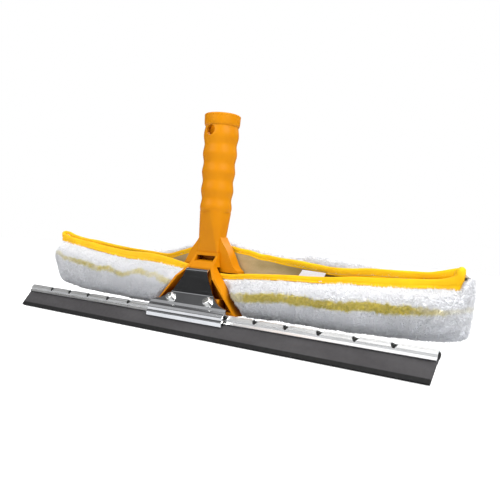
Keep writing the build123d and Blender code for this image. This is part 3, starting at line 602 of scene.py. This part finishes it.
def build_binding():
    step = 1.6
    turn_points = 9
    front, back = edge_lines(step)
    turns = []
    for a, b, sign in ((front[-1], back[0], 1), (back[-1], front[0], -1)):
        t = np.linspace(0, math.pi, turn_points + 2)[1:-1]
        mid = (a + b) / 2
        radius = abs(a[1] - b[1]) / 2
        share = (1 - np.cos(t)) / 2
        turn = a + (b - a) * share[:, None]
        turn[:, 1] = mid[1] - sign * radius * np.cos(t)
        turn[:, 0] = a[0] + sign * radius * 1.4 * np.sin(t)
        turns.append(turn)
    path = np.concatenate([front, turns[0], back, turns[1]])
    n = len(path)
    front_half, back_half = curve_at(FRONT_HALF, front[:, 0]), curve_at(BACK_HALF, back[:, 0])
    mouth_ends = []
    for a, b, tall in ((front_half[-1], back_half[0], 7.6), (back_half[-1], front_half[0], 4.7)):
        t = np.linspace(0, 1, turn_points + 2)[1:-1]
        mouth_ends.append(a + (b - a) * t + (tall - (a + b) / 2) * np.sin(math.pi * t) ** 0.7)
    half = np.concatenate([front_half, mouth_ends[0], back_half, mouth_ends[1]])
    half *= 1 + 0.05 * (noise(path, 13.0, 31) - 0.5)
    near_end = smooth((np.maximum(path[:, 0] - RIGHT_END, LEFT_END - path[:, 0]) + 34) / 22)
    along = np.concatenate([[0], np.cumsum(np.linalg.norm(np.diff(path, axis=0), axis=1))])
    tangent = np.roll(path, -1, 0) - np.roll(path, 1, 0)
    tangent[:, 2] *= 0.4
    tangent /= np.linalg.norm(tangent, axis=1, keepdims=True)
    up = np.tile([0.0, 0.0, 1.0], (n, 1))
    turning = np.linspace(1, -1, turn_points)
    is_front = np.concatenate([np.ones(len(front)), turning, -np.ones(len(back)), -turning])
    lean = 0.32 * smooth((np.abs(path[:, 0]) - 45) / 60) * (1 - near_end)
    up[:, 1] += is_front * lean
    up -= tangent * np.sum(up * tangent, 1, keepdims=True)
    up /= np.linalg.norm(up, axis=1, keepdims=True)
    out = np.cross(tangent, up)
    heights = np.array([1.0, 0.93, 0.78, 0.55, 0.3, 0.08, -0.08, -0.22, -0.38, -0.56, -0.74, -0.9, -1.0])
    widths = np.interp(heights, TAPE_HEIGHTS, TAPE_WIDTHS)
    ring = [(w, t) for w, t in zip(widths, heights)] + [(-w, t) for w, t in zip(widths[::-1], heights[::-1])]
    points, values_along, values_across = [], [], []
    pucker = 0.10 * np.sin(along / 3.1 * 2 * math.pi) + 0.4 * (noise(path, 9.0, 77) - 0.5)
    arch = np.sin(math.pi * np.linspace(0, 1, turn_points))
    bulge = np.concatenate([smooth((front[:, 0] - 212) / 16) * 0.7, 0.7 + 0.9 * arch,
                            smooth((back[:, 0] - 212) / 16) * 0.7, 0.6 * arch])
    for side, tall in ring:
        swell = 1 + pucker * (0.6 if tall > -0.1 else 0.25) + bulge * (1 - 0.35 * tall**4)
        p = path + out * (side * swell)[:, None] + up * (tall * half)[:, None]
        points.append(p)
        values_along.append(along)
        values_across.append(tall * half)
    grid = np.stack(points, 1)
    around = len(ring)
    faces = []
    for i in range(n):
        for k in range(around):
            j, m = (i + 1) % n, (k + 1) % around
            faces.append((i * around + k, i * around + m, j * around + m, j * around + k))
    tape = mesh_object("sleeve_binding", to_row(grid.reshape(-1, 3)), faces)
    set_point_value(tape, "along", np.stack(values_along, 1).reshape(-1) * MM)
    set_point_value(tape, "across", np.stack(values_across, 1).reshape(-1) * MM)
    tape.data.materials.append(TAPE)
    return tape, path, out, up, half, along


def build_stitches(path, out, up, half, along):
    """A row of lock stitches near the tape's lower edge, on both of its sides."""
    every, size = 3.2, 2.3
    thread_radius, tip_radius = 0.17, 0.04
    tape_face, sunk = 0.72, 0.5              # how far out a stitch lies, and where its ends go in
    seam = 0.38                              # seam's place below the tape's middle, in half heights
    sides = 6

    def tape_at(place):
        """The tape's centre, outward and upward directions there, and the seam's drop below the centre."""
        centre, outward, upward = (np.array([np.interp(place, along, line[:, k]) for k in range(3)])
                                   for line in (path, out, up))
        return centre, outward, upward, np.interp(place, along, half) * seam

    def thread_point(where, side, lift):
        centre, outward, upward, drop = where
        return centre + outward * side * lift - upward * drop

    points, faces = [], []
    for side in (1, -1):
        for q in range(int(along[-1] / every)):
            place = (q + 0.3) * every
            a, b = tape_at(place), tape_at(place + size)
            top_a, top_b = thread_point(a, side, tape_face), thread_point(b, side, tape_face)
            outward = (a[1] + b[1]) / 2 * side
            upward = (a[2] + b[2]) / 2
            line = [(thread_point(a, side, sunk), tip_radius), (top_a * 0.8 + top_b * 0.2, thread_radius),
                    (top_a * 0.2 + top_b * 0.8, thread_radius), (thread_point(b, side, sunk), tip_radius)]
            start = len(points)
            for point, radius in line:
                for k in range(sides):
                    angle = 2 * math.pi * k / sides
                    spoke = upward * (radius * math.cos(angle)) + outward * (radius * math.sin(angle))
                    points.append(point + spoke)
            for ring in range(start, start + 3 * sides, sides):
                for k in range(sides):
                    m = (k + 1) % sides
                    faces.append((ring + k, ring + m, ring + sides + m, ring + sides + k))
            faces.append(tuple(start + k for k in range(sides)))
            faces.append(tuple(start + 3 * sides + k for k in reversed(range(sides))))
    thread = mesh_object("binding_stitches", to_row(np.array(points)), faces)
    m = Nodes("stitch_thread", (0.95, 0.58, 0.01), 0.6)
    m.color(m.mix(m.ramp(m.grain(900.0), 0.4, 0.6, 0.0, 1.0), (0.96, 0.60, 0.012), (0.85, 0.47, 0.006)))
    thread.data.materials.append(m.mat)
    return thread


def build_lining():
    """Woven backing, a thin closed shell just inside the pile."""
    stations, around = 150, 60
    outer = sleeve_grid(inner_profile, LEFT_END + 7.7, RIGHT_END - 12.7, 8.0, stations, around)
    n = grid_normals(outer)
    crease = (clumps(outer.reshape(-1, 3), 16.0, 41) * 0.5).reshape(stations, around, 1)
    v = np.linspace(0, 1, around)[None, :, None]
    rim = smooth(v / 0.06) * smooth((1 - v) / 0.06)
    inside = outer - n * (0.42 + 0.2 * crease * rim)
    outer = outer - n * 0.03
    points = np.concatenate([outer.reshape(-1, 3), inside.reshape(-1, 3)])
    lining = mesh_object("sleeve_lining_cloth", to_row(points), shell_faces(stations, around))
    weld(lining)
    lining.data.materials.append(LINING)
    return lining


def build_label():
    """A strip of satin ribbon, sewn in behind the front edge and leaning back."""
    left, width, low, height = 94.0, LABEL_WIDTH, 53.6, 11.1
    half_thickness = 0.16
    columns, rows = 30, 18
    u = np.linspace(0, 1, columns)[None, :]
    v = np.linspace(0, 1, rows)[:, None]
    x = left + width * u + 3.5 * v * (1 - 0.6 * u)
    z = low + height * v - 0.9 * u * v
    y = -3.6 + 4.1 * smooth((v - 0.2) / 0.9) + 0.5 * np.sin(u * 5.0) * v
    sheet = np.stack(np.broadcast_arrays(x, y, z), -1)
    front = sheet - np.array([0, half_thickness, 0])
    back = sheet + np.array([0, half_thickness, 0])
    points = np.concatenate([front.reshape(-1, 3), back.reshape(-1, 3)])
    faces, base = [], rows * columns
    for i in range(rows - 1):
        for j in range(columns - 1):
            a = i * columns + j
            faces.append((a, a + 1, a + columns + 1, a + columns))
            faces.append(tuple(base + k for k in (a, a + columns, a + columns + 1, a + 1)))
    edge = (list(range(columns)) + [i * columns + columns - 1 for i in range(1, rows)]
            + [(rows - 1) * columns + j for j in range(columns - 2, -1, -1)]
            + [i * columns for i in range(rows - 2, 0, -1)])
    for a, b in zip(edge, edge[1:] + edge[:1]):
        faces.append((a, base + a, base + b, b))
    label = mesh_object("care_label_ribbon", to_row(points), faces)
    label.data.materials.append(LABEL)
    return label


pile, moved, pile_normals, pile_soft = build_pile()
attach(pile, "sleeve")
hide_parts("sleeve_pile_front", "sleeve_pile_back", "sleeve_pile_base")
TUFTS = (
    ("pile_tufts_front", 48000, lambda a, n: (n[:, :, 1] < -0.45) * (a[:, :, 2] > 20), 2.9, 3),
    ("pile_tufts_back", 40000, lambda a, n: (n[:, :, 1] > 0.35), 2.9, 13),
    ("pile_tufts_middle", 34000, lambda a, n: (n[:, :, 1] <= 0.35) * (n[:, :, 1] >= -0.45), 2.8, 23),
)
for name, count, keep, length, seed in TUFTS:
    tufts = build_tufts(name, moved, pile_normals, pile_soft, count, keep, length, seed)
    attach(tufts, "sleeve")

tape, path, out, up, half, along = build_binding()
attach(tape, "sleeve")
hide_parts("sleeve_binding")
thread = build_stitches(path, out, up, half, along)
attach(thread, "sleeve")
lining = build_lining()
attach(lining, "sleeve")
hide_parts("sleeve_lining")
label = build_label()
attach(label, "sleeve")
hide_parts("care_label")


# ---- floor, light and camera ----
def build_stage():
    """A white floor: bright to the eye, and a quiet grey in what it sends back to the object."""
    size = 6.0
    points = [(x, y, -0.0004) for x, y in ((-size, -size), (size, -size), (size, size), (-size, size))]
    floor = mesh_object("floor", points, [(0, 1, 2, 3)])
    m = Nodes("floor_paper", (0.93, 0.93, 0.93), 0.9, Specular_IOR_Level=0.05, Emission_Strength=0.55)
    m.shader.inputs["Emission Color"].default_value = (1, 1, 1, 1)
    m.bump(m.grain(60.0), 0.0002)
    grey = m.add("BsdfDiffuse")
    grey.inputs[0].default_value = (0.62, 0.63, 0.65, 1)
    ray = m.add("LightPath")
    mix = m.add("MixShader")
    m.link(ray.outputs["Is Camera Ray"], mix.inputs[0])
    m.link(grey.outputs[0], mix.inputs[1])
    m.link(m.shader.outputs[0], mix.inputs[2])
    m.link(mix.outputs[0], m.out.inputs[0])
    floor.data.materials.append(m.mat)


def area_light(name, place, target, size, power, color=(1, 1, 1)):
    data = bpy.data.lights.new(name, "AREA")
    data.shape = "RECTANGLE"
    data.size, data.size_y = size
    data.energy = power
    data.color = color
    light = bpy.data.objects.new(name, data)
    light.location = place
    light.rotation_euler = (Vector(target) - Vector(place)).to_track_quat("-Z", "Y").to_euler()
    bpy.context.scene.collection.objects.link(light)


def build_world():
    """Even white to the eye.  For light and reflections, a studio in bands: bright above and dark below."""
    world = bpy.data.worlds.new("studio")
    bpy.context.scene.world = world
    world.use_nodes = True
    tree = world.node_tree
    tree.nodes.clear()
    out = tree.nodes.new("ShaderNodeOutputWorld")
    seen = tree.nodes.new("ShaderNodeBackground")
    seen.inputs[0].default_value = (1, 1, 1, 1)
    seen.inputs[1].default_value = 1.0
    lit = tree.nodes.new("ShaderNodeBackground")
    lit.inputs[1].default_value = 1.0
    place = tree.nodes.new("ShaderNodeTexCoord")
    split = tree.nodes.new("ShaderNodeSeparateXYZ")
    tree.links.new(place.outputs["Generated"], split.inputs[0])
    ramp = tree.nodes.new("ShaderNodeValToRGB")
    stops = ((0.0, 0.02), (0.6, 0.03), (0.66, 0.35), (0.72, 0.5), (0.78, 0.10), (0.87, 0.12), (0.91, 1.2),
             (1.0, 1.3))                     # height from straight down (0) to straight up (1), brightness
    ramp.color_ramp.elements[0].position = stops[0][0]
    ramp.color_ramp.elements[1].position = stops[-1][0]
    for position, _ in stops[1:-1]:
        ramp.color_ramp.elements.new(position)
    for element, (_, value) in zip(ramp.color_ramp.elements, stops):
        element.color = (value, value, value * 1.02, 1)
    half = tree.nodes.new("ShaderNodeMath")
    half.operation = "MULTIPLY_ADD"
    half.inputs[1].default_value = 0.5
    half.inputs[2].default_value = 0.5
    tree.links.new(split.outputs[2], half.inputs[0])
    tree.links.new(half.outputs[0], ramp.inputs[0])
    tree.links.new(ramp.outputs[0], lit.inputs[0])
    ray = tree.nodes.new("ShaderNodeLightPath")
    mix = tree.nodes.new("ShaderNodeMixShader")
    tree.links.new(ray.outputs["Is Camera Ray"], mix.inputs[0])
    tree.links.new(lit.outputs[0], mix.inputs[1])
    tree.links.new(seen.outputs[0], mix.inputs[2])
    tree.links.new(mix.outputs[0], out.inputs[0])


def build_camera():
    data = bpy.data.cameras.new("camera")
    data.sensor_width = 36.0
    data.lens = 47.09
    camera = bpy.data.objects.new("camera", data)
    azimuth, roll = math.radians(38.56), math.radians(4.43)
    back = Vector((math.sin(azimuth), -math.cos(azimuth), 0))
    right = Vector((math.cos(azimuth), math.sin(azimuth), 0))
    up = Vector((0, 0, 1))
    x_axis = right * math.cos(roll) + up * math.sin(roll)
    y_axis = up * math.cos(roll) - right * math.sin(roll)
    camera.matrix_world = Matrix((x_axis, y_axis, back)).transposed().to_4x4()
    camera.location = (0.3905, AXIS_Y - 0.4364, 0.0772)
    bpy.context.scene.collection.objects.link(camera)
    bpy.context.scene.camera = camera


build_stage()
build_world()
area_light("key", (0.95, -0.25, 0.95), (0, 0, 0.06), (0.8, 0.7), 17.0)
area_light("fill", (-0.35, -1.1, 0.8), (-0.05, 0, 0.05), (0.9, 0.5), 9.5)
area_light("rim", (-0.1, 1.0, 0.9), (0, 0, 0.08), (1.2, 0.5), 7.0)
build_camera()
bpy.context.scene.view_settings.view_transform = "Standard"
